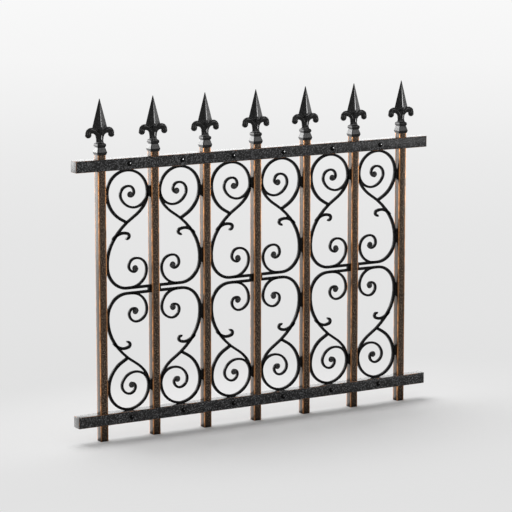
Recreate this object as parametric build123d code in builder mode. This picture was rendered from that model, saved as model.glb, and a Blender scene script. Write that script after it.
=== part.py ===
from build123d import *
from math import acos, atan2, ceil, degrees, hypot
import os

os.makedirs("parts", exist_ok=True)

# An iron railing panel: square pickets through two rails, a cast fleur-de-lis
# finial on each picket, and a scroll above and below the middle of each bay.
# X runs along the panel, Y points to its back, Z is up, and the origin is
# the centre of the middle picket's foot.

# Pickets
bay_count = 6
picket_pitch = 128
picket_width = 18
picket_edge = 1.5

# Rails, with square holes punched for the pickets
foot_length = 35.5
rail_gap = 527.5
rail_height = 25
rail_depth = 25
rail_edge = 1
rail_overhang = 63
punch_clearance = 0.2

# Rivet heads on the rails, one in the middle of each bay
rivet_width = 10.8
rivet_rim = 1.6
rivet_rise = 2.8
rivet_shoulder = 9
rivet_crown = 4.6
rivet_sides = 8

# Scroll bars: their thickness, and their distance from a picket and from the
# panel's middle, measured to the bar's centre line
scroll_depth = 6
scroll_inset = 6.2
scroll_rise = 5.8
heavy_bar = 5.8
ring_bar = 4.8
light_bar = 3.9
eye_radius = 6.2
eye_sides = 12
lug_height = 24
chord_error = 0.5

# Scroll paths as tangent arcs, each a radius in shares of the ring's radius and
# a turn in degrees, with left turns positive
ring_quarters = [(1, -90), (1, -90)]
ring_volute = [(0.666, -90), (0.697, -68), (0.385, -112), (0.287, -90), (0.184, -90)]
flank_arcs = [(1.332, 60)]
upper_bar_arcs = [(0.984, -40), (1.885, -19), (3.033, 14), (3.156, 12)]
lower_bar_arcs = [(1.967, 38), (1.076, 36), (0.922, 49)]
foot_volute = [(0.758, 90), (0.527, 90), (0.357, 90), (0.25, 90), (0.15, 90)]
tendril_arcs = [(0.607, -78), (0.121, -150), (0.082, -40)]

# Where the scroll's bars join, in shares of the ring's radius or of an arc
ring_drop_share = 0.057
flank_share = 0.57
volute_share = 0.22
tendril_offset_share = 0.029
belly_share = 0.8

# Ties that hold the scrolls' long bars to a picket
tie_height = 17.5
tie_width = 6.2
tie_depth = 8

# Finial socket, collar and cove, all square, with the socket's walls and the
# collar measured out from its bore
neck_length = 9.4
socket_height = 17
socket_depth = 12
socket_clearance = 0.2
lip_wall = 1
skirt_wall = 2.7
socket_skirt = 5.6
top_inset = 0.8
collar_overhang = 1.2
collar_height = 8
collar_edge = 2
cove_height = 2.5
neck_width = 13

# Finial blade: two flat wings and the ridge between them
finial_height = 119.6
blade_width = 36
wing_depth = 6
ridge_width = 10
blade_depth = 13
tip_share = 0.035

# Finial arms, each ending in a ball
arm_depth = 9
arm_edge = 2
arm_root = 8.6
arm_hollow = 3.3
armpit_reach = 18.5
armpit_height = 45.2
arm_top = 58.8
arm_crown = 19.5
arm_bulge = 4.9
ball_reach = 27.3
ball_height = 43.6
ball_radius = 7.4
ball_depth = 12.5
ball_edge = 3
ball_sides = 10

# Places that follow from the sizes above
picket_x = [(i - bay_count / 2) * picket_pitch for i in range(bay_count + 1)]
bay_x = [(i - (bay_count - 1) / 2) * picket_pitch for i in range(bay_count)]
bay_width = picket_pitch - picket_width
rail_length = bay_count * picket_pitch + 2 * rail_overhang
bottom_rail_z = foot_length + rail_height / 2
top_rail_z = bottom_rail_z + rail_gap + rail_height
middle_z = (bottom_rail_z + top_rail_z) / 2
finial_z = top_rail_z + rail_height / 2 + neck_length
picket_height = finial_z + socket_depth - socket_clearance


def facet_count(edge):
    # Straight facets that follow an edge to within the chord error.
    if edge.geom_type == GeomType.LINE:
        return 1
    step = 2 * acos(1 - chord_error / edge.radius)
    return ceil(edge.length / edge.radius / step)


def path_corners(path):
    # The first point of every facet along a path.
    return [edge @ (i / facet_count(edge)) for edge in path for i in range(facet_count(edge))]


def arc_chain(start, heading, turns):
    # Tangent arcs from a list of radii, in shares of the ring's, and turns.
    arcs = []
    for share, turn in turns:
        arcs.append(JernArc(start, heading, share * ring_radius, turn))
        start = arcs[-1] @ 1
        heading = arcs[-1] % 1
    return arcs


# The scroll is drawn round the ring's centre. The ring stands under the rail
# and turns in to a volute at its lower right, and the long bar runs from its
# right side down past the left picket to a foot at the panel's middle.
ring_radius = bay_width / 2 - scroll_inset
rise = (rail_gap - ring_bar) / 2
ring = arc_chain((-ring_radius, 0), (0, 1), ring_quarters + ring_volute)
upper_bar = arc_chain((ring_radius, -ring_drop_share * ring_radius), (0, -1), upper_bar_arcs)
lower_bar = arc_chain(upper_bar[-1] @ 1, upper_bar[-1] % 1, lower_bar_arcs)
foot_level = (lower_bar[-1] @ 1).Y
foot = Line(lower_bar[-1] @ 1, (bay_width / 2 - tie_width, foot_level))

# The flank brings the ring's left side down to the long bar, and a volute and
# a tendril spring from that bar's foot and back.
flank = arc_chain((-ring_radius, 0), (0, -1), flank_arcs)
flank.append(Line(flank[-1] @ 1, upper_bar[2] @ flank_share))
volute_start = foot @ volute_share + Vector(0, (heavy_bar - light_bar) / 2)
volute = arc_chain(volute_start, foot % 0, foot_volute)
tendril_heading = lower_bar[0] % 0 * -1
tendril_offset = tendril_offset_share * ring_radius
tendril_start = lower_bar[0] @ 0 + tendril_heading.rotate(Axis.Z, 90) * tendril_offset
tendril = arc_chain(tendril_start, tendril_heading, tendril_arcs)


def fit_to_bay(drawn):
    # Stretch a drawn point to the bay's height, with the panel's middle at height 0.
    stretch = (rise - scroll_rise) / (ring_radius - foot_level)
    return Vector(drawn.X, scroll_rise + (drawn.Y - foot_level) * stretch)


def side_of_path(edge, share):
    # The fitted path's left-hand direction at a share of an edge.
    here = edge @ share
    return (fit_to_bay(here + edge % share) - fit_to_bay(here)).normalized().rotate(Axis.Z, 90)


def bar_corners(path, widths):
    # Outline of a bar that follows a drawn path, its width given at each joint.
    left = []
    right = []
    for edge, first, last in zip(path, widths, widths[1:]):
        count = facet_count(edge)
        for i in range(0 if edge is path[0] else 1, count + 1):
            middle = fit_to_bay(edge @ (i / count))
            half_side = side_of_path(edge, i / count) * (first + (last - first) * i / count) / 2
            left.append(middle + half_side)
            right.append(middle - half_side)
    return left + right[::-1]


def eye_centre(path, inward):
    # A volute's eye lies on the inner side of its bar's end.
    return fit_to_bay(path[-1] @ 1) + side_of_path(path[-1], 1) * inward * (eye_radius - light_bar / 2)


lug_x = (bay_width - scroll_inset) / 2
ring_level = fit_to_bay(Vector(0, 0)).Y
belly_level = fit_to_bay(lower_bar[0] @ belly_share).Y
crown_height = rail_gap / 2 - rise

with BuildSketch() as scroll_pattern:
    for path, widths in (
        (ring, [heavy_bar, ring_bar, ring_bar] + [light_bar] * 5),
        (upper_bar, [light_bar] + [ring_bar] * 3 + [heavy_bar]),
        (lower_bar + [foot], [heavy_bar] * 5),
        (flank, [heavy_bar] * 3),
        (volute, [light_bar] * 6),
        (tendril, [heavy_bar, heavy_bar, light_bar, light_bar]),
    ):
        with BuildLine():
            Polyline(*bar_corners(path, widths), close=True)
        make_face()
    with Locations(eye_centre(ring, -1), eye_centre(volute, 1)):
        RegularPolygon(eye_radius, eye_sides)
    # Lugs seat the scroll on both pickets and under the rail
    with Locations((-lug_x, ring_level), (lug_x, ring_level), (-lug_x, belly_level)):
        Rectangle(scroll_inset, lug_height)
    with Locations((0, rise + crown_height / 2)):
        Rectangle(lug_height, crown_height)

# Every scroll is the same piece, turned over below the middle and turned
# round in every other bay.
for level, up in (("upper", 1), ("lower", -1)):
    for bay, x in enumerate(bay_x):
        along = 1 if bay % 2 == 0 else -1
        scroll_plane = Plane((x, 0, middle_z), x_dir=(along, 0, 0), z_dir=(0, -along * up, 0))
        with BuildPart() as scroll:
            with BuildSketch(scroll_plane):
                add(scroll_pattern.sketch)
            extrude(amount=scroll_depth / 2, both=True)
        scroll.part.label = f"scroll_{level}_{bay + 1}"
        export_step(scroll.part, f"parts/{scroll.part.label}.step")

# Ties on both sides of every second picket
for bay, x in enumerate(bay_x):
    along = 1 if bay % 2 == 0 else -1
    tie_x = x + along * (bay_width - tie_width) / 2
    with BuildPart() as tie:
        with BuildSketch(Plane.XY.offset(middle_z - tie_height / 2)):
            with Locations((tie_x, 0)):
                Rectangle(tie_width, tie_depth)
        extrude(amount=tie_height)
    tie.part.label = f"tie_{bay + 1}"
    export_step(tie.part, f"parts/{tie.part.label}.step")

# Pickets
for index, x in enumerate(picket_x):
    with BuildPart() as picket:
        with BuildSketch(Plane((x, 0, 0))):
            Rectangle(picket_width, picket_width)
        extrude(amount=picket_height)
        chamfer(picket.edges().filter_by(Axis.Z), picket_edge)
    picket.part.label = f"picket_{index + 1}"
    export_step(picket.part, f"parts/{picket.part.label}.step")


def taper(inset, height):
    # The angle at which each side of a block draws in by an inset.
    return degrees(atan2(inset, height))


# One rivet head: a steep rim under a shallow crown
rivet_bands = (
    (0, rivet_width, rivet_rim, rivet_shoulder),
    (rivet_rim, rivet_shoulder, rivet_rise, rivet_crown),
)
with BuildPart() as rivet_head:
    for low, low_width, high, high_width in rivet_bands:
        with BuildSketch(Plane.XY.offset(low)):
            RegularPolygon(low_width / 2, rivet_sides, major_radius=False)
        extrude(amount=high - low, taper=taper((low_width - high_width) / 2, high - low))

# Rails and their rivets, which show a head at the front and at the back
for name, z in (("bottom_rail", bottom_rail_z), ("top_rail", top_rail_z)):
    with BuildPart() as rail:
        with BuildSketch(Plane.YZ.offset(-rail_length / 2)):
            with Locations((0, z)):
                Rectangle(rail_depth, rail_height)
        extrude(amount=rail_length)
        chamfer(rail.edges(), rail_edge)
        with BuildSketch(Plane.XY.offset(z)):
            with Locations(*[(x, 0) for x in picket_x]):
                Rectangle(picket_width + 2 * punch_clearance, picket_width + 2 * punch_clearance)
        extrude(amount=rail_height / 2, both=True, mode=Mode.SUBTRACT)
    rail.part.label = name
    export_step(rail.part, f"parts/{name}.step")

    with BuildPart() as rivets:
        for x in bay_x:
            for facing in (-1, 1):
                rail_face = Plane((x, facing * rail_depth / 2, z), x_dir=(1, 0, 0), z_dir=(0, facing, 0))
                with Locations(rail_face):
                    add(rivet_head.part)
    rivets.part.label = f"{name}_rivets"
    export_step(rivets.part, f"parts/{rivets.part.label}.step")

# Finial: the heights and widths of its square stack, from the socket's lip
# through the collar and the cove to the neck
socket_bore = picket_width + 2 * socket_clearance
waist_width = socket_bore - 2 * top_inset
collar_width = socket_bore + 2 * collar_overhang
collar_top = socket_height + collar_height
neck_z = collar_top + cove_height
square_stack = (
    (0, socket_bore + 2 * lip_wall),
    (socket_skirt, socket_bore + 2 * skirt_wall),
    (socket_height, waist_width),
    (socket_height + collar_edge, collar_width),
    (collar_top - collar_edge, collar_width),
    (collar_top, waist_width),
    (neck_z, neck_width),
)

# The blade starts inside the arms, and its ridge also runs down to the neck
blade_z = arm_top - arm_edge

# One arm, from the neck over the top of its curl to the ball
arm_reach = ball_reach + ball_radius
arm_path = [
    Line((0, neck_z), (arm_root, neck_z)),
    SagittaArc((arm_root, neck_z), (armpit_reach, armpit_height), arm_hollow),
    Line((armpit_reach, armpit_height), (ball_reach, ball_height)),
    Line((ball_reach, ball_height), (arm_reach, ball_height)),
    SagittaArc((arm_reach, ball_height), (arm_crown, arm_top), -arm_bulge),
    Line((arm_crown, arm_top), (0, arm_top)),
    Line((0, arm_top), (0, neck_z)),
]
ball_face = Plane((ball_reach, 0, ball_height), x_dir=(1, 0, 0), z_dir=(0, -1, 0))

with BuildPart() as finial_pattern:
    for (low, low_width), (high, high_width) in zip(square_stack, square_stack[1:]):
        # Each block is drawn wide end down, then turned over if it spreads upward
        wide = max(low_width, high_width)
        with BuildPart(mode=Mode.PRIVATE) as block:
            with BuildSketch(Plane.XY.offset(low)):
                Rectangle(wide, wide)
            extrude(amount=high - low, taper=taper(abs(low_width - high_width) / 2, high - low))
            if high_width > low_width:
                turned = mirror(block.part, about=Plane.XY.offset((low + high) / 2), mode=Mode.PRIVATE)
                add(turned, mode=Mode.REPLACE)
        add(block.part)
    for width, depth, low, share in (
        (blade_width, wing_depth, blade_z, tip_share),
        (ridge_width, blade_depth, blade_z, tip_share),
        (ridge_width, blade_depth, neck_z, 1),
    ):
        high = finial_height if share < 1 else blade_z
        inradius = width * depth / 2 / hypot(width, depth)
        with BuildSketch(Plane.XY.offset(low)):
            Polygon((width / 2, 0), (0, depth / 2), (-width / 2, 0), (0, -depth / 2))
        extrude(amount=high - low, taper=taper(inradius * (1 - share), high - low))
    with BuildPart(mode=Mode.PRIVATE) as arm:
        with BuildSketch(Plane.XZ):
            with BuildLine():
                Polyline(*path_corners(arm_path), close=True)
            make_face()
        extrude(amount=arm_depth / 2, both=True)
        chamfer(arm.faces().sort_by(Axis.Y)[0].edges(), arm_edge)
        chamfer(arm.faces().sort_by(Axis.Y)[-1].edges(), arm_edge)
        with BuildPart(mode=Mode.PRIVATE) as ball:
            with BuildSketch(ball_face):
                RegularPolygon(ball_radius, ball_sides)
            extrude(amount=ball_depth / 2, both=True)
            chamfer(ball.faces().sort_by(Axis.Y)[0].edges(), ball_edge)
            chamfer(ball.faces().sort_by(Axis.Y)[-1].edges(), ball_edge)
        add(ball.part)
    add(arm.part)
    add(mirror(arm.part, about=Plane.YZ, mode=Mode.PRIVATE))
    with BuildSketch(Plane.XY):
        Rectangle(socket_bore, socket_bore)
    extrude(amount=socket_depth, mode=Mode.SUBTRACT)

for index, x in enumerate(picket_x):
    with BuildPart() as finial:
        add(finial_pattern.part.moved(Location((x, 0, finial_z))))
    finial.part.label = f"finial_{index + 1}"
    export_step(finial.part, f"parts/{finial.part.label}.step")
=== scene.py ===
import bmesh
import bpy
from math import atan2, cos, pi, radians, sin
from mathutils import Matrix, Vector


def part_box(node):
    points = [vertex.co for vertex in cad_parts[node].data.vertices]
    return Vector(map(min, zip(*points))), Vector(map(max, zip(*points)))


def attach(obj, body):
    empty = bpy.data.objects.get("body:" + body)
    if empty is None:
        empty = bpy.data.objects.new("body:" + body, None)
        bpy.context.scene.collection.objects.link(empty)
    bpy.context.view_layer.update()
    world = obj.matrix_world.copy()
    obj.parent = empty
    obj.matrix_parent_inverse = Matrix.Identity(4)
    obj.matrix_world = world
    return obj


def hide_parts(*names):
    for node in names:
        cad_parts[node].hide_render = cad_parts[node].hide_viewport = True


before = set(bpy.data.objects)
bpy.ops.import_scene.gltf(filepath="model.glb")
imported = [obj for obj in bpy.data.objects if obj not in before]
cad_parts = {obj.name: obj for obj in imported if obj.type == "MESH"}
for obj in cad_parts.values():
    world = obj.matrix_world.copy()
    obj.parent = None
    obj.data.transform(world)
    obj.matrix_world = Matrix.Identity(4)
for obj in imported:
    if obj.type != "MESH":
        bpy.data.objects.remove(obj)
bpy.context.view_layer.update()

mm = 0.001

# Where the frame puts things
bayCount = 6
picketCount = bayCount + 1
picketBoxes = [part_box(f"picket_{i + 1}") for i in range(picketCount)]
pitch = (picketBoxes[1][0] - picketBoxes[0][0]).x
picketX = [(low.x + high.x) / 2 for low, high in picketBoxes]
bayX = [(left + right) / 2 for left, right in zip(picketX, picketX[1:])]
railNodes = ("top_rail", "bottom_rail")
topRailLow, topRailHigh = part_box("top_rail")
bottomRailLow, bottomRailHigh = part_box("bottom_rail")
middleZ = (topRailLow.z + bottomRailHigh.z) / 2
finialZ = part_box("finial_1")[0].z
print("frame: pitch", round(pitch / mm, 2), "mm, middle at", round(middleZ / mm, 2), "mm")


def deselectAll():
    bpy.ops.object.select_all(action="DESELECT")


def activate(piece):
    deselectAll()
    piece.select_set(True)
    bpy.context.view_layer.objects.active = piece


def settle(piece):
    # the piece's place and size go into its mesh
    activate(piece)
    bpy.ops.object.transform_apply(location=True, rotation=True, scale=True)


def pickVertices(piece, test):
    # in edit mode: select the vertices whose place passes a test
    bpy.ops.mesh.select_mode(type="VERT")
    bpy.ops.mesh.select_all(action="DESELECT")
    for vertex in bmesh.from_edit_mesh(piece.data).verts:
        if test(vertex.co):
            vertex.select_set(True)
    bmesh.update_edit_mesh(piece.data)


def extrudeUp(rise, share):
    # in edit mode: draw the selected face upwards and scale its outline
    bpy.ops.mesh.extrude_region_move(TRANSFORM_OT_translate={"value": (0, 0, rise)})
    bpy.ops.transform.resize(value=(share, share, 1))


def followArcs(place, heading, width, arcs):
    # in edit mode: spin the selected section round each arc in turn, easing its
    # width; an arc is a radius, a turn in degrees (left turns positive), the
    # width at its end and its number of steps, all lengths in millimetres
    for radius, turn, newWidth, steps in arcs:
        way = 1 if turn > 0 else -1
        centre = place + Vector((-heading.y, heading.x)) * way * radius
        pivot = (centre.x * mm, 0, centre.y * mm)
        stepAngle = radians(abs(turn) / steps)
        rotation = Matrix.Rotation(stepAngle * way, 2)
        for step in range(steps):
            bpy.ops.mesh.spin(steps=1, angle=stepAngle, center=pivot, axis=(0, way, 0))
            spoke = place - centre
            spoke.rotate(rotation)
            heading.rotate(rotation)
            place = centre + spoke
            lastWidth = width + (newWidth - width) * step / steps
            nextWidth = width + (newWidth - width) * (step + 1) / steps
            growth = nextWidth / lastWidth
            end = (place.x * mm, 0, place.y * mm)
            bpy.ops.transform.resize(value=(growth, 1, growth), center_override=end)
        width = newWidth
    return place, heading


def addModifier(piece, kind, **settings):
    activate(piece)
    modifier = piece.modifiers.new(kind.title(), kind)
    for key, value in settings.items():
        setattr(modifier, key, value)
    bpy.ops.object.modifier_apply(modifier=modifier.name)


def smooth(piece, angle=50):
    activate(piece)
    bpy.ops.object.shade_smooth_by_angle(angle=radians(angle))


def outward(piece):
    activate(piece)
    bpy.ops.object.mode_set(mode="EDIT")
    bpy.ops.mesh.select_all(action="SELECT")
    bpy.ops.mesh.normals_make_consistent(inside=False)
    bpy.ops.object.mode_set(mode="OBJECT")


def makeBall(x, z, radius, depth, rings):
    # a ball flattened along Y
    deselectAll()
    bpy.ops.mesh.primitive_uv_sphere_add(segments=32, ring_count=rings, radius=radius, location=(x, 0, z),
                                         rotation=(pi / 2, 0, 0))
    ball = bpy.context.object
    ball.scale = (1, 1, depth / 2 / radius)
    settle(ball)
    return ball


def copyPiece(piece, name, matrix):
    # a copy with its own mesh, moved or turned in the mesh itself
    twin = piece.copy()
    twin.data = piece.data.copy()
    twin.name = twin.data.name = name
    bpy.context.scene.collection.objects.link(twin)
    twin.data.transform(matrix)
    if matrix.determinant() < 0:
        twin.data.flip_normals()
    return twin


def joinPieces(pieces, name):
    deselectAll()
    for piece in pieces:
        piece.select_set(True)
    bpy.context.view_layer.objects.active = pieces[0]
    bpy.ops.object.join()
    joined = bpy.context.object
    joined.name = joined.data.name = name
    return joined


def handOver(piece, node, finishes):
    # the piece stands for a node and takes its slot, and its finishes in order
    while len(piece.data.materials) < len(finishes):
        piece.data.materials.append(None)
    for index, finish in enumerate(finishes):
        piece.data.materials[index] = finish
    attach(piece, "root")
    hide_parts(node)


# Materials

def setInputs(material, node, inputs):
    # each input takes a value, or a link from another node's socket
    for key, value in inputs.items():
        if isinstance(value, bpy.types.NodeSocket):
            material.node_tree.links.new(value, node.inputs[key])
        else:
            node.inputs[key].default_value = value


def addNode(material, kind, inputs=None, **settings):
    node = material.node_tree.nodes.new(kind)
    for key, value in settings.items():
        setattr(node, key, value)
    setInputs(material, node, inputs or {})
    return node


def newMaterial(name):
    # a new material, and the place on the piece that its patterns follow
    material = bpy.data.materials.new(name)
    material.use_nodes = True
    return material, addNode(material, "ShaderNodeTexCoord").outputs["Object"]


def mainShader(material):
    return material.node_tree.nodes["Principled BSDF"]


def noise(material, place, scale, detail=3, roughness=0.5):
    inputs = {"Vector": place, "Scale": scale, "Detail": detail, "Roughness": roughness}
    return addNode(material, "ShaderNodeTexNoise", inputs).outputs["Fac"]


def remap(material, value, low, high, newLow=0, newHigh=1):
    inputs = {"Value": value, "From Min": low, "From Max": high, "To Min": newLow, "To Max": newHigh}
    node = addNode(material, "ShaderNodeMapRange", inputs, interpolation_type="SMOOTHSTEP")
    return node.outputs["Result"]


def blendColours(material, factor, first, second):
    # the colour version of Mix has its factor and colours at inputs 0, 6 and 7
    inputs = {0: factor, 6: first, 7: second}
    return addNode(material, "ShaderNodeMix", inputs, data_type="RGBA").outputs[2]


def calculate(material, operation, first, second=0.0, third=0.0):
    inputs = {0: first, 1: second, 2: third}
    return addNode(material, "ShaderNodeMath", inputs, operation=operation).outputs[0]


def vectorLength(material, vector):
    return addNode(material, "ShaderNodeVectorMath", {0: vector}, operation="LENGTH").outputs["Value"]


def fineGrain(material, place, look):
    return noise(material, place, look["grainScale"], detail=2, roughness=0.7)


def broadDrift(material, place, look):
    # how much of the drift colour shows
    drift = noise(material, place, look["driftScale"], detail=2)
    return remap(material, drift, look["driftFrom"], look["driftTo"], 0, look["driftShare"])


def fromNearest(material, value, middle, spacing):
    # how far a value is from the nearest of a row of evenly spaced middles
    away = calculate(material, "SUBTRACT", value, middle)
    return calculate(material, "WRAP", away, spacing / 2, -spacing / 2)


def bumpNormal(material, height, strength, distance):
    inputs = {"Height": height, "Strength": strength, "Distance": distance}
    return addNode(material, "ShaderNodeBump", inputs).outputs["Normal"]


def ironFinish(name, look):
    # hammered dark iron: speckled paint, a broad tone drift, and small dents
    material, place = newMaterial(name)
    grain = fineGrain(material, place, look)
    speckle = remap(material, grain, look["grainFrom"], look["grainTo"])
    colour = blendColours(material, speckle, look["dark"], look["light"])
    colour = blendColours(material, broadDrift(material, place, look), colour, look["drift"])
    dents = addNode(material, "ShaderNodeTexVoronoi", {"Vector": place, "Scale": look["dentScale"]},
                    feature="SMOOTH_F1").outputs["Distance"]
    height = calculate(material, "MULTIPLY_ADD", grain, look["grainHeight"], dents)
    sheen, spread = look["roughness"], look["roughnessSpread"]
    setInputs(material, mainShader(material), {
        "Base Color": colour,
        "Metallic": look["metallic"],
        "Specular IOR Level": look["specular"],
        "Roughness": remap(material, speckle, 0, 1, sheen - spread, sheen + spread),
        "Normal": bumpNormal(material, height, look["bump"], look["bumpDistance"]),
    })
    return material


railLook = {
    "dark": (0.020, 0.020, 0.020, 1),
    "light": (0.165, 0.165, 0.17, 1),
    "drift": (0.030, 0.029, 0.028, 1),
    "grainScale": 440,
    "grainFrom": 0.53,
    "grainTo": 0.61,
    "driftScale": 9,
    "driftFrom": 0.4,
    "driftTo": 0.7,
    "driftShare": 0.25,
    "dentScale": 320,
    "grainHeight": 0.8,
    "bump": 0.35,
    "bumpDistance": 0.4 * mm,
    "roughness": 0.33,
    "roughnessSpread": 0.07,
    "specular": 0.09,
    "metallic": 0,
}
endLook = railLook | {
    "light": (0.05, 0.05, 0.051, 1),
    "bump": 0.02,
    "roughness": 0.42,
    "specular": 0.4,
}
scrollLook = railLook | {
    "dark": (0.001, 0.001, 0.001, 1),
    "light": (0.016, 0.016, 0.017, 1),
    "drift": (0.010, 0.009, 0.008, 1),
    "bump": 0.15,
    "roughness": 0.3,
    "specular": 0.07,
}
# a lighter copy of the scroll iron for the eyes: a painted highlight standing for the reflection on their
# domes
eyeHighlightLook = scrollLook | {
    "dark": (0.020, 0.020, 0.020, 1),
    "light": (0.11, 0.11, 0.112, 1),
    "drift": (0.05, 0.049, 0.047, 1),
}
finialLook = scrollLook | {
    "light": (0.028, 0.028, 0.029, 1),
    "bump": 0.1,
    "roughness": 0.24,
    "specular": 0.17,
}
railIron = ironFinish("railIron", railLook)
railEnd = ironFinish("railEnd", endLook)
scrollIron = ironFinish("scrollIron", scrollLook)
eyeHighlightIron = ironFinish("eyeHighlightIron", eyeHighlightLook)
finialIron = ironFinish("finialIron", finialLook)


def crownedFinish(name, look):
    # black rivet heads with a painted highlight: a bright metal spot near the crown;
    # one pattern serves every bay of both rails
    material, place = newMaterial(name)
    axes = addNode(material, "ShaderNodeSeparateXYZ", {0: place}).outputs
    highlightX = pitch / 2 + look["highlightX"]
    highlightZ = (bottomRailLow.z + bottomRailHigh.z) / 2 + look["highlightZ"]
    railsApart = topRailHigh.z - bottomRailHigh.z
    across = fromNearest(material, axes["X"], highlightX, pitch)
    up = fromNearest(material, axes["Z"], highlightZ, railsApart)
    away = vectorLength(material, addNode(material, "ShaderNodeCombineXYZ", {0: across, 1: up}).outputs[0])
    edgeNoise = noise(material, place, look["raggedScale"], detail=2)
    ragged = calculate(material, "MULTIPLY_ADD", edgeNoise, look["raggedReach"], away)
    paintedHighlight = remap(material, ragged, look["highlightTo"], look["highlightFrom"])
    # the lower rail's heads get a dimmer painted highlight
    highlightFade = remap(material, axes["Z"], bottomRailHigh.z, topRailLow.z, look["lowHighlight"], 1)
    paintedHighlight = calculate(material, "MULTIPLY", paintedHighlight, highlightFade)
    grain = noise(material, place, look["grainScale"], detail=2)
    paint = blendColours(material, grain, look["dark"], look["light"])
    roughness = remap(material, grain, look["grainFrom"], look["grainTo"], *look["roughness"])
    setInputs(material, mainShader(material), {
        "Base Color": blendColours(material, paintedHighlight, paint, look["metal"]),
        "Metallic": paintedHighlight,
        "Specular IOR Level": look["specular"],
        "Roughness": roughness,
    })
    return material


rivetLook = {
    "dark": (0.001, 0.001, 0.001, 1),
    "light": (0.006, 0.006, 0.006, 1),
    # the colour of the painted highlight, laid on as bare metal
    "metal": (0.50, 0.50, 0.51, 1),
    "highlightX": 0.9 * mm,           # the painted highlight's place, from the head's middle
    "highlightZ": 1.5 * mm,
    "highlightFrom": 1.3 * mm,        # all painted highlight up to this radius
    "highlightTo": 2.4 * mm,          # and all paint from this one
    "raggedScale": 700,
    "raggedReach": 1.2 * mm,
    # how bright the painted highlight stays on the lower rail
    "lowHighlight": 0.25,
    "grainScale": 500,
    "grainFrom": 0.3,
    "grainTo": 0.7,
    "roughness": (0.22, 0.34),
    "specular": 0.03,
}
rivetIron = crownedFinish("rivetIron", rivetLook)


def cornerWear(material, place, across, deep, look):
    # how far the paint is rubbed through: a faint band beside the corners and a
    # stronger line on them, both in uneven patches
    corner = calculate(material, "MINIMUM", across, deep)
    band = remap(material, corner, look["bandFrom"], look["bandTo"], 0, look["bandWear"])
    line = remap(material, corner, look["lineFrom"], look["lineTo"], 0, look["lineWear"])
    patches = noise(material, place, look["patchScale"], detail=4, roughness=0.65)
    patches = remap(material, patches, look["patchFrom"], look["patchTo"], *look["patchWear"])
    wear = calculate(material, "MULTIPLY", calculate(material, "ADD", band, line), patches)
    return addNode(material, "ShaderNodeClamp", {"Value": wear}).outputs[0]


def bronzedFinish(name, look):
    # brown-black bar whose corners are rubbed through to coppery metal; each
    # picket is centred on a multiple of the pitch, so one pattern serves all
    material, place = newMaterial(name)
    axes = addNode(material, "ShaderNodeSeparateXYZ", {0: place}).outputs
    across = calculate(material, "ABSOLUTE", fromNearest(material, axes["X"], 0, pitch))
    deep = calculate(material, "ADD", calculate(material, "ABSOLUTE", axes["Y"]), look["sideReach"])
    wear = cornerWear(material, place, across, deep, look)

    side = remap(material, across, look["sideFrom"], look["sideTo"])
    grain = fineGrain(material, place, look)
    speckle = remap(material, grain, look["grainFrom"], look["grainTo"])
    speckle = calculate(material, "MULTIPLY", speckle, remap(material, side, 0, 1, 1, look["sideGrain"]))
    paint = blendColours(material, speckle, look["dark"], look["light"])
    paint = blendColours(material, broadDrift(material, place, look), paint, look["drift"])
    # painted shade: the feet are painted darker towards the ground, where the floor shades them
    sole = remap(material, axes["Z"], 0, look["soleShadeHeight"], look["soleShadeTone"], 1)
    foot = remap(material, axes["Z"], 0, look["footShadeHeight"], look["footShadeTone"], 1)
    paint = blendColours(material, calculate(material, "MULTIPLY", sole, foot), look["footShadeColour"], paint)
    copperNoise = noise(material, place, look["copperScale"], detail=2)
    copper = blendColours(material, copperNoise, look["copperDark"], look["copperLight"])
    strength = remap(material, side, 0, 1, look["bump"], look["bump"] * look["sideGrain"])
    setInputs(material, mainShader(material), {
        "Base Color": blendColours(material, wear, paint, copper),
        "Metallic": wear,
        "Specular IOR Level": look["specular"],
        "Specular Tint": look["sheenTint"],
        "Roughness": remap(material, wear, 0, 1, look["roughness"], look["copperRoughness"]),
        "Normal": bumpNormal(material, grain, strength, look["bumpDistance"]),
    })
    return material


picketLook = {
    "dark": (0.017, 0.011, 0.007, 1),
    "light": (0.31, 0.22, 0.155, 1),
    "drift": (0.050, 0.028, 0.016, 1),
    "copperDark": (0.36, 0.11, 0.02, 1),
    "copperLight": (0.58, 0.31, 0.14, 1),
    "copperScale": 330,
    "sheenTint": (1, 0.83, 0.70, 1),
    "bandFrom": 5.0 * mm,        # the band and the line are measured from the bar's middle
    "bandTo": 7.6 * mm,
    "bandWear": 0.32,
    "lineFrom": 7.2 * mm,
    "lineTo": 8.2 * mm,
    "lineWear": 0.58,
    "patchScale": 55,
    "patchFrom": 0.3,
    "patchTo": 0.62,
    "patchWear": (0.35, 1.15),
    # the painted shade at the feet: its colour, and how high and how dark it reaches
    "footShadeColour": (0.001, 0.001, 0.001, 1),
    "soleShadeHeight": 8 * mm,
    "soleShadeTone": 0.1,
    "footShadeHeight": 70 * mm,
    "footShadeTone": 0.5,
    "sideReach": 0.1 * mm,       # how much farther the copper reaches over the side faces
    "sideFrom": 8.6 * mm,        # past here the smoother side faces start
    "sideTo": 8.95 * mm,
    "sideGrain": 0.2,
    "grainScale": 440,
    "grainFrom": 0.54,
    "grainTo": 0.60,
    "driftScale": 9,
    "driftFrom": 0.4,
    "driftTo": 0.7,
    "driftShare": 0.3,
    "bump": 0.15,
    "bumpDistance": 0.4 * mm,
    "roughness": 0.28,
    "copperRoughness": 0.32,
    "specular": 0.2,
}
picketIron = bronzedFinish("picketIron", picketLook)


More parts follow.
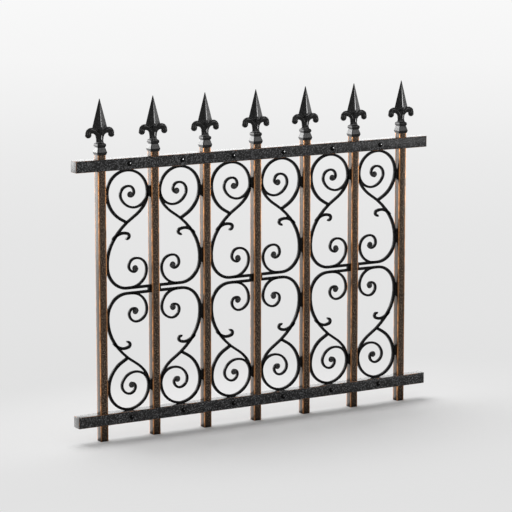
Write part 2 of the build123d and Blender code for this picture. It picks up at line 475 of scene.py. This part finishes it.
def rubbedEdge(name, look):
    # paint worn thin along an edge, in uneven patches
    material, place = newMaterial(name)
    patches = noise(material, place, look["patchScale"], detail=4, roughness=0.6)
    patches = remap(material, patches, look["paintFrom"], look["paintTo"])
    tone = noise(material, place, look["toneScale"])
    metal = blendColours(material, tone, look["metalDark"], look["metalLight"])
    roughness = remap(material, tone, look["toneFrom"], look["toneTo"], *look["roughness"])
    setInputs(material, mainShader(material), {
        "Base Color": blendColours(material, patches, metal, look["paint"]),
        "Metallic": remap(material, patches, 0, 1, look["metallic"], 0),
        "Specular IOR Level": look["specular"],
        "Roughness": roughness,
        "Normal": bumpNormal(material, tone, look["bump"], look["bumpDistance"]),
    })
    return material


edgeLook = {
    "metalDark": (0.16, 0.05, 0.008, 1),
    "metalLight": (0.40, 0.16, 0.04, 1),
    "metallic": 0.2,
    "paint": (0.012, 0.008, 0.006, 1),
    "paintFrom": 0.45,
    "paintTo": 0.60,
    "patchScale": 60,
    "toneScale": 260,
    "toneFrom": 0.3,
    "toneTo": 0.7,
    "roughness": (0.3, 0.5),
    "bump": 0.3,
    "bumpDistance": 0.3 * mm,
    "specular": 0.2,
}
railEdge = rubbedEdge("railEdge", edgeLook)
print("materials: done")


# Bars: pickets, rails and ties

def makeBar(name, low, high, shape):
    deselectAll()
    bpy.ops.mesh.primitive_cube_add(size=1, location=(low + high) / 2, scale=high - low)
    bar = bpy.context.object
    bar.name = bar.data.name = name
    settle(bar)
    # the eased edges take the second finish
    bar.data.materials.append(None)
    bar.data.materials.append(None)
    addModifier(bar, "BEVEL", width=shape["edge"], segments=shape["edgeSteps"], limit_method="ANGLE",
                material=1)
    smooth(bar)
    return bar


picketShape = {"edge": 0.6 * mm, "edgeSteps": 3}

for index, (low, high) in enumerate(picketBoxes):
    picket = makeBar(f"square_picket_{index + 1}", low, high, picketShape)
    handOver(picket, f"picket_{index + 1}", (picketIron, picketIron))
print("pickets:", picketCount)

railShape = {
    "edge": 0.6 * mm,
    "edgeSteps": 3,
    "holeGap": 0.2 * mm,
    "cutterReach": 5 * mm,       # how far a hole's cutter passes the rail
    "endFacing": 0.99,           # a sawn end faces along X at least this much
    "endWithin": 0.1 * mm,       # and is this near the rail's end
}


def punchHoles(rail, low, high):
    # square holes for the pickets
    gap = Vector((railShape["holeGap"], railShape["holeGap"], 0))
    cutters = []
    for near, far in picketBoxes:
        near = Vector((near.x, near.y, low.z - railShape["cutterReach"])) - gap
        far = Vector((far.x, far.y, high.z + railShape["cutterReach"])) + gap
        deselectAll()
        bpy.ops.mesh.primitive_cube_add(size=1, location=(near + far) / 2, scale=far - near)
        settle(bpy.context.object)
        cutters.append(bpy.context.object)
    cutter = joinPieces(cutters, "cutter")
    addModifier(rail, "BOOLEAN", operation="DIFFERENCE", solver="EXACT", object=cutter)
    bpy.data.objects.remove(cutter)


for node in railNodes:
    low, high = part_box(node)
    rail = makeBar(f"{node}_bar", low, high, railShape)
    punchHoles(rail, low, high)
    smooth(rail)
    # the sawn ends take the third finish
    for face in rail.data.polygons:
        atEnd = abs(face.center.x) > high.x - railShape["endWithin"]
        if atEnd and abs(face.normal.x) > railShape["endFacing"]:
            face.material_index = 2
    handOver(rail, node, (railIron, railEdge, railEnd))
print("rails:", len(railNodes))

tieShape = {"edge": 0.8 * mm, "edgeSteps": 2}

for bay in range(bayCount):
    tie = makeBar(f"picket_tie_{bay + 1}", *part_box(f"tie_{bay + 1}"), tieShape)
    handOver(tie, f"tie_{bay + 1}", (scrollIron, scrollIron))
print("ties:", bayCount)


# Rivets: one domed head, copied to both sides of each bay on both rails

rivetShape = {
    "width": 10.8 * mm,
    "rise": 3.2 * mm,
    "neck": 0.84,                # share of the width, under the dome
    "neckHeight": 0.5 * mm,
    "domeShare": 0.94,           # how much of a quarter turn the dome covers
    "around": 32,
    "rings": 8,
    "smoothAngle": 40,
}


def makeRivetHead():
    halfWidth, neckHeight = rivetShape["width"] / 2, rivetShape["neckHeight"]
    deselectAll()
    bpy.ops.mesh.primitive_circle_add(vertices=rivetShape["around"], radius=halfWidth, fill_type="NGON")
    head = bpy.context.object
    bpy.ops.object.mode_set(mode="EDIT")
    bpy.ops.transform.resize(value=(rivetShape["neck"], rivetShape["neck"], 1))
    extrudeUp(neckHeight, 1 / rivetShape["neck"])
    radius, level = halfWidth, neckHeight
    for ring in range(rivetShape["rings"]):
        angle = (ring + 1) / rivetShape["rings"] * pi / 2 * rivetShape["domeShare"]
        newRadius = halfWidth * cos(angle)
        newLevel = neckHeight + (rivetShape["rise"] - neckHeight) * sin(angle)
        extrudeUp(newLevel - level, newRadius / radius)
        radius, level = newRadius, newLevel
    bpy.ops.object.mode_set(mode="OBJECT")
    outward(head)
    smooth(head, rivetShape["smoothAngle"])
    return head


rivetHead = makeRivetHead()
for rail in railNodes:
    low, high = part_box(rail)
    heads = []
    for x in bayX:
        for face, turn in ((low.y, pi / 2), (high.y, -pi / 2)):
            place = Matrix.Translation((x, face, (low.z + high.z) / 2)) @ Matrix.Rotation(turn, 4, "X")
            heads.append(copyPiece(rivetHead, "head", place))
    rivets = joinPieces(heads, f"{rail}_rivets_domed")
    handOver(rivets, f"{rail}_rivets", (rivetIron,))
bpy.data.objects.remove(rivetHead)
print("rivets:", len(heads) * len(railNodes))


# Scrolls: each bar is a rounded section that follows a chain of tangent arcs.
# A path is drawn in millimetres round the ring's centre, x to the right and z
# up. Each arc is a radius, a turn in degrees (left turns positive) and the
# name of the bar's width at its end.

scrollShape = {
    # bar widths and the ring's radius, in millimetres
    "heavy": 6.9,
    "ring": 5.9,
    "light": 5.5,
    "ringRadius": 48.8,
    # from the ring's right side in to its eye
    "spiralArcs": ((32.5, -90, "light"), (34, -68, "light"), (18.8, -112, "light"), (14, -90, "light"),
                   (9, -90, "light")),
    "flankArcs": ((65, 60, "heavy"),),
    "flankRun": 17,
    "upperStart": -2.8,          # how high on the ring's right side the long bar starts
    "upperArcs": ((48, -40, "ring"), (92, -19, "ring"), (148, 14, "ring"), (154, 12, "heavy")),
    "lowerArcs": ((96, 38, "heavy"), (52.5, 36, "heavy"), (45, 49, "heavy")),
    "footRun": 2.7,              # how far the foot runs past the ring's radius
    "voluteStart": (8.6, 0.95),  # from the ring's centre, and above the foot
    "voluteArcs": ((37, 90, "light"), (25.7, 90, "light"), (17.4, 90, "light"), (12.2, 90, "light"),
                   (7.3, 90, "light")),
    "tendrilAside": 1.4,         # how far the tendril starts beside the long bar's middle
    "tendrilArcs": ((29.6, -78, "heavy"), (5.9, -150, "light"), (4, -40, "light")),
    "degreesPerStep": 7,
    # the rest is in metres
    "depth": 6 * mm,
    "corner": 0.9 * mm,
    "eyeRadius": 6.9 * mm,
    "eyeDepth": 7.2 * mm,
    "footAbove": 5.8 * mm,       # the foot's height over the panel's middle
    "lugHeight": 26 * mm,
    "lugLength": 6.2 * mm,
    "lugDepth": 9 * mm,
    "lugEdge": 0.6 * mm,
    "lugTrim": 0.3 * mm,         # a lug's outer half is cut off this far past its middle
    "lugDrop": 8 * mm,           # how far the lug beside the flank sits under the ring's centre
    "bellyBelow": 150 * mm,      # where the long bar touches the picket, under the ring's centre
    "bellyHeight": 34 * mm,
    "crownPad": 2.4 * mm,
}


def startBar(place, heading, width):
    # a rounded rectangle across the path, with its depth along Y
    deselectAll()
    bpy.ops.mesh.primitive_plane_add(
        size=1,
        location=(place.x * mm, 0, place.y * mm),
        rotation=(0, atan2(heading.x, heading.y), 0),
    )
    bar = bpy.context.object
    bar.scale = (width * mm, scrollShape["depth"], 1)
    settle(bar)
    bpy.ops.object.mode_set(mode="EDIT")
    bpy.ops.mesh.select_all(action="SELECT")
    bpy.ops.mesh.bevel(offset=scrollShape["corner"], segments=3, affect="VERTICES")
    return bar


def sweepBar(start, heading, widthName, arcs, run=0.0):
    # a bar along its arcs, then straight on; its end and last heading come back too
    width = scrollShape[widthName]
    place, heading = Vector(start), heading.normalized()
    bar = startBar(place, heading, width)
    steppedArcs = []
    for radius, turn, endName in arcs:
        steps = max(1, round(abs(turn) / scrollShape["degreesPerStep"]))
        steppedArcs.append((radius, turn, scrollShape[endName], steps))
    place, heading = followArcs(place, heading, width, steppedArcs)
    if run:
        move = heading * run
        bpy.ops.mesh.extrude_region_move(TRANSFORM_OT_translate={"value": (move.x * mm, 0, move.y * mm)})
        place = place + move
    bpy.ops.object.mode_set(mode="OBJECT")
    return bar, place, heading


def eyeCentre(place, heading, inward):
    # the eye lies on the inner side of its bar, flush with the outer side
    side = Vector((-heading.y, heading.x)) * inward
    return place * mm + side * (scrollShape["eyeRadius"] - scrollShape["light"] / 2 * mm)


def makeLug(x, z, width, height):
    # half a lens that seats the scroll on a picket or under a rail, its flat
    # side at (x, z) and its hump towards the ring
    deselectAll()
    bpy.ops.mesh.primitive_cylinder_add(vertices=40, radius=1, depth=scrollShape["lugDepth"],
                                        location=(x, 0, z), rotation=(pi / 2, 0, 0))
    lug = bpy.context.object
    lug.scale = (width, height, 1)
    settle(lug)
    bpy.ops.object.mode_set(mode="EDIT")
    bpy.ops.mesh.select_all(action="SELECT")
    away = (Vector((x, 0, 0)) if width < height else Vector((0, 0, z))).normalized()
    cut = Vector((x, 0, z)) + away * scrollShape["lugTrim"]
    bpy.ops.mesh.bisect(plane_co=cut, plane_no=away, use_fill=True, clear_outer=True)
    bpy.ops.object.mode_set(mode="OBJECT")
    addModifier(lug, "BEVEL", width=scrollShape["lugEdge"], segments=2, limit_method="ANGLE")
    return lug


def makeLugs():
    # one on each side of the ring, one at the long bar's belly, and the crown's pad
    length, halfHeight = scrollShape["lugLength"], scrollShape["lugHeight"] / 2
    lugX = scrollShape["ringRadius"] * mm + length
    crownZ = scrollShape["ringRadius"] * mm + scrollShape["ring"] / 2 * mm + scrollShape["crownPad"]
    return [
        makeLug(-lugX, -scrollShape["lugDrop"], length, halfHeight),
        makeLug(lugX, 0, length, halfHeight),
        makeLug(-lugX, -scrollShape["bellyBelow"], length, scrollShape["bellyHeight"] / 2),
        makeLug(0, crownZ, halfHeight, scrollShape["crownPad"] * 2),
    ]


def makeScroll():
    radius = scrollShape["ringRadius"]
    up, down, right = Vector((0, 1)), Vector((0, -1)), Vector((1, 0))
    quarter = (radius, -90, "ring")          # the ring goes up, over the crown and down
    ringBar, ringEnd, ringWay = sweepBar(
        (-radius, 0), up, "heavy", (quarter, quarter, *scrollShape["spiralArcs"]))
    upperBar, backEnd, backWay = sweepBar(
        (radius, scrollShape["upperStart"]), down, "light", scrollShape["upperArcs"])
    lowerBar, footEnd, _ = sweepBar(
        backEnd, backWay, "heavy", scrollShape["lowerArcs"], run=radius + scrollShape["footRun"])
    flank, _, _ = sweepBar(
        (-radius, 0), down, "heavy", scrollShape["flankArcs"], run=scrollShape["flankRun"])
    voluteX, voluteRise = scrollShape["voluteStart"]
    volute, voluteEnd, voluteWay = sweepBar(
        (voluteX, footEnd.y + voluteRise), right, "light", scrollShape["voluteArcs"])
    tendrilWay = -backWay
    aside = Vector((-tendrilWay.y, tendrilWay.x)) * scrollShape["tendrilAside"]
    tendril, _, _ = sweepBar(backEnd + aside, tendrilWay, "heavy", scrollShape["tendrilArcs"])

    eyeCentres = (eyeCentre(ringEnd, ringWay, -1), eyeCentre(voluteEnd, voluteWay, 1))
    eyes = [makeBall(centre.x, centre.y, scrollShape["eyeRadius"], scrollShape["eyeDepth"], rings=16)
            for centre in eyeCentres]
    bars = [ringBar, upperBar, lowerBar, flank, volute, tendril]
    scroll = joinPieces([*bars, *eyes, *makeLugs()], "scroll")
    outward(scroll)
    smooth(scroll)
    # the eyes take the second finish, painted lighter than the bars as a painted highlight
    for face in scroll.data.polygons:
        spot = Vector((face.center.x, face.center.z))
        if any((spot - centre).length < scrollShape["eyeRadius"] for centre in eyeCentres):
            face.material_index = 1
    return scroll, footEnd.y * mm


scroll, footLevel = makeScroll()
ringAbove = scrollShape["footAbove"] - footLevel       # from the panel's middle to a ring's centre
for level, up in (("upper", 1), ("lower", -1)):
    for bay, x in enumerate(bayX):
        # turned round in every second bay, and turned over below the middle
        along = 1 if bay % 2 == 0 else -1
        turn = Matrix.Diagonal((along, along * up, up, 1))
        place = Matrix.Translation((x, 0, middleZ)) @ turn @ Matrix.Translation((0, 0, ringAbove))
        piece = copyPiece(scroll, f"iron_scroll_{level}_{bay + 1}", place)
        handOver(piece, f"scroll_{level}_{bay + 1}", (scrollIron, eyeHighlightIron))
bpy.data.objects.remove(scroll)
print("scrolls:", bayCount * 2, "of", len(piece.data.polygons), "faces")


# Finials: a square socket and collar, a ridged blade, and two curled arms

finialShape = {
    # heights and widths of the square stack, in millimetres
    "stack": ((0, 19.6), (0.6, 20.6), (5.6, 23.8), (17, 16.9), (17.4, 18.2), (18.6, 20.2), (21, 20.8),
              (23.4, 20.2), (24.6, 18.2), (25, 16.6), (25.6, 14.2), (27.5, 12.6), (32, 11)),
    # the arm's start and width, and for each arc its radius, turn, width at the
    # end and steps, in millimetres and degrees
    "armStart": (4.2, 27),
    "armWidth": 8.6,
    "armArcs": ((90, -8, 8.8, 3), (15, -82, 13.6, 9), (60, -2.4, 13.2, 1), (7.8, -93, 8.2, 9)),
    "ballPlace": (27.3, 43.6),
    # the rest is in metres
    "armDepth": 9.4 * mm,
    "ballRadius": 7.4 * mm,
    "ballDepth": 12.4 * mm,
    "stackCorner": 1.0 * mm,
    "height": 119.6 * mm,
    "bladeFrom": 52 * mm,
    "bladeWidth": 39.5 * mm,
    "bladeDepth": 13 * mm,
    "bladeHollow": (5.6 * mm, 2.5 * mm),     # where each flank of the blade dips
    "tipShare": 0.045,                       # the tip's width as a share of the blade's
    "stemFrom": 27 * mm,
    "stemWidth": 9 * mm,
    "stemHollow": (2.6 * mm, 4.4 * mm),
    "stemShare": 1.4,                        # the stem's width at its top as a share of its foot's
    "stemReach": 3 * mm,                     # how far the stem goes into the blade
    "voxel": 0.55 * mm,
    "smoothing": 0.5,
    "smoothingRounds": 2,
    "triangles": 18000,
    "smoothAngle": 60,
}


def makeStack():
    levels = finialShape["stack"]
    deselectAll()
    bpy.ops.mesh.primitive_plane_add(size=levels[0][1] * mm)
    stack = bpy.context.object
    bpy.ops.object.mode_set(mode="EDIT")
    bpy.ops.mesh.bevel(offset=finialShape["stackCorner"], segments=3, affect="VERTICES")
    for (low, lowWidth), (high, highWidth) in zip(levels, levels[1:]):
        extrudeUp((high - low) * mm, highWidth / lowWidth)
    bpy.ops.object.mode_set(mode="OBJECT")
    return stack


def makeBlade(low, high, width, share, hollow):
    # a ridged section drawn up to a point, or out to a wider end
    halfWidth, halfDepth = width / 2, finialShape["bladeDepth"] / 2
    deselectAll()
    bpy.ops.mesh.primitive_circle_add(vertices=8, radius=1, fill_type="NGON", location=(0, 0, low))
    blade = bpy.context.object
    blade.scale = (halfWidth, halfDepth, 1)
    settle(blade)
    bpy.ops.object.mode_set(mode="EDIT")
    # the four corners between the ridges move in to the hollows
    pickVertices(blade, lambda corner: min(abs(corner.x), abs(corner.y)) > 0.1 * mm)
    dip = (hollow[0] / (halfWidth * cos(pi / 4)), hollow[1] / (halfDepth * cos(pi / 4)), 1)
    bpy.ops.transform.resize(value=dip, center_override=(0, 0, low))
    bpy.ops.mesh.select_all(action="SELECT")
    extrudeUp(high - low, share)
    bpy.ops.object.mode_set(mode="OBJECT")
    return blade


def makeArm():
    # swept from the neck up and over to the ball, widest where it turns down
    x, z = finialShape["armStart"]
    deselectAll()
    bpy.ops.mesh.primitive_circle_add(vertices=16, radius=0.5, fill_type="NGON",
                                      location=(x * mm, 0, z * mm))
    arm = bpy.context.object
    arm.scale = (finialShape["armWidth"] * mm, finialShape["armDepth"], 1)
    settle(arm)
    bpy.ops.object.mode_set(mode="EDIT")
    followArcs(Vector((x, z)), Vector((0, 1)), finialShape["armWidth"], finialShape["armArcs"])
    bpy.ops.object.mode_set(mode="OBJECT")
    x, z = finialShape["ballPlace"]
    ball = makeBall(x * mm, z * mm, finialShape["ballRadius"], finialShape["ballDepth"], rings=20)
    return joinPieces([arm, ball], "arm")


def makeFinial():
    shape = finialShape
    arm = makeArm()
    parts = [
        makeStack(),
        makeBlade(shape["bladeFrom"], shape["height"], shape["bladeWidth"], shape["tipShare"],
                  shape["bladeHollow"]),
        makeBlade(shape["stemFrom"], shape["bladeFrom"] + shape["stemReach"], shape["stemWidth"],
                  shape["stemShare"], shape["stemHollow"]),
        arm,
        copyPiece(arm, "armTwin", Matrix.Diagonal((-1, 1, 1, 1))),
    ]
    for part in parts:
        outward(part)
    casting = joinPieces(parts, "casting")
    addModifier(casting, "REMESH", mode="VOXEL", voxel_size=shape["voxel"])
    addModifier(casting, "SMOOTH", factor=shape["smoothing"], iterations=shape["smoothingRounds"])
    triangles = sum(len(face.vertices) - 2 for face in casting.data.polygons)
    addModifier(casting, "DECIMATE", ratio=min(1, shape["triangles"] / triangles))
    smooth(casting, shape["smoothAngle"])
    return casting


casting = makeFinial()
for index, x in enumerate(picketX):
    finial = copyPiece(casting, f"fleur_finial_{index + 1}", Matrix.Translation((x, 0, finialZ)))
    handOver(finial, f"finial_{index + 1}", (finialIron,))
bpy.data.objects.remove(casting)
print("finials:", picketCount, "of", len(finial.data.polygons), "faces")


# Studio: floor, world and lamps

studio = {
    "floorRadius": 60,
    "floorColour": (0.785, 0.785, 0.785, 1),
    "farFrom": 0.14,                         # the paper turns to glow between these radii
    "farTo": 0.62,
    "farNarrowing": (0.6, 1, 1),             # X counts for less, so the near paper is longer that way
    "farReach": 14,
    # the glow's tones, by share of the reach
    "farTones": ((0, 0.725), (0.045, 0.755), (0.10, 0.775), (0.19, 0.79), (0.33, 0.83), (0.45, 0.871),
                 (0.64, 0.915), (1, 0.94)),
    "worldColour": (0.94, 0.94, 0.94, 1),
    "worldLight": 0.52,
    # lamps: place, aim, width, height and power
    "softbox": ((-0.1, 2.0, 3.6), (0, 0, 0.1), 4.0, 3.0, 140),
    # cards are lamps that show only as reflections
    "cards": {
        "backCard": ((0.9, 3.0, 0.95), (0, 0, 0.35), 4.4, 1.8, 72),
        "leftCard": ((-1.75, 2.3, 0.8), (0, 0, 0.35), 1.4, 1.6, 50),
        "socketCard": ((-1.33, 2.2, 1.08), (0, 0, 0.65), 1.6, 0.5, 26),
        "floorCard": ((-0.55, 1.21, 0.003), (-0.55, 1.21, 1), 1.9, 2.4, 30),
        "rightCard": ((2.4, 0.5, 0.42), (0, 0, 0.6), 1.1, 0.8, 26),
        "bladeCard": ((3.6, -2.86, 0.39), (0, 0, 0.65), 1.1, 0.72, 24),
        "cameraCard": ((-1.7, -2.3, 1.5), (0, 0, 0.5), 1.2, 0.7, 14),
        "frontCard": ((1.3, -2.1, 1.62), (0.1, 0, 0.6), 1.3, 0.7, 16),
        "coveCard": ((1.03, -1.5, 2.36), (0, 0, 0.6), 0.6, 0.5, 9),
        "sparkCard": ((2.0, -0.1, 1.6), (0, 0, 0.5), 0.35, 0.35, 10),
    },
}


def makeFloor():
    # pale paper near the railing and an even glow farther off, brighter with distance
    deselectAll()
    bpy.ops.mesh.primitive_circle_add(vertices=128, radius=studio["floorRadius"], fill_type="NGON")
    floor = bpy.context.object
    floor.name = floor.data.name = "studio_floor"
    material, place = newMaterial("paleFloor")
    nodes = material.node_tree.nodes
    nodes.remove(mainShader(material))
    narrowed = addNode(material, "ShaderNodeVectorMath", {0: place, 1: studio["farNarrowing"]},
                       operation="MULTIPLY").outputs[0]
    far = remap(material, vectorLength(material, narrowed), studio["farFrom"], studio["farTo"])
    reach = calculate(material, "DIVIDE", vectorLength(material, place), studio["farReach"])
    tones = addNode(material, "ShaderNodeValToRGB", {"Fac": reach})
    ramp = tones.color_ramp
    while len(ramp.elements) < len(studio["farTones"]):
        ramp.elements.new(1)
    for element, (position, tone) in zip(ramp.elements, studio["farTones"]):
        element.position, element.color = position, (tone, tone, tone, 1)
    paper = addNode(material, "ShaderNodeBsdfDiffuse", {"Color": studio["floorColour"]})
    glow = addNode(material, "ShaderNodeEmission", {"Color": tones.outputs["Color"], "Strength": 1})
    mixed = addNode(material, "ShaderNodeMixShader", {0: far, 1: paper.outputs[0], 2: glow.outputs[0]})
    setInputs(material, nodes["Material Output"], {"Surface": mixed.outputs[0]})
    floor.data.materials.append(material)


def makeWorld():
    # white to the camera, in reflections and through glass, and dimmer as a light
    world = bpy.data.worlds.new("studioWorld")
    bpy.context.scene.world = world
    world.use_nodes = True
    rays = addNode(world, "ShaderNodeLightPath").outputs
    seen = calculate(world, "MAXIMUM", rays["Is Camera Ray"], rays["Is Glossy Ray"])
    seen = calculate(world, "MAXIMUM", seen, rays["Is Transmission Ray"])
    inputs = {"Value": seen, "To Min": studio["worldLight"], "To Max": 1}
    strength = addNode(world, "ShaderNodeMapRange", inputs).outputs["Result"]
    background = world.node_tree.nodes["Background"]
    setInputs(world, background, {"Color": studio["worldColour"], "Strength": strength})


def addLamp(name, place, aim, width, height, power, glossOnly=False):
    data = bpy.data.lights.new(name, "AREA")
    data.shape = "RECTANGLE"
    data.size, data.size_y = width, height
    data.energy = power
    lamp = bpy.data.objects.new(name, data)
    bpy.context.scene.collection.objects.link(lamp)
    lamp.location = place
    lamp.rotation_euler = (Vector(aim) - Vector(place)).to_track_quat("-Z", "Y").to_euler()
    lamp.visible_camera = False
    lamp.visible_diffuse = not glossOnly


makeFloor()
makeWorld()
addLamp("topSoftbox", *studio["softbox"])
for name, card in studio["cards"].items():
    addLamp(name, *card, glossOnly=True)
print("studio:", len(studio["cards"]) + 1, "lamps")

# The camera stands where the photograph was taken from
cameraView = {
    "place": (-2.7455, -4.6131, 1.2872),
    "along": (0.50423, 0.84703, -0.16813),
    "lens": 172.98,
    "sensor": 36,
}
cameraData = bpy.data.cameras.new("camera")
cameraData.lens = cameraView["lens"]
cameraData.sensor_width = cameraView["sensor"]
camera = bpy.data.objects.new("camera", cameraData)
bpy.context.scene.collection.objects.link(camera)
camera.location = cameraView["place"]
camera.rotation_euler = Vector(cameraView["along"]).to_track_quat("-Z", "Y").to_euler()
bpy.context.scene.camera = camera
bpy.context.scene.view_settings.view_transform = "Standard"
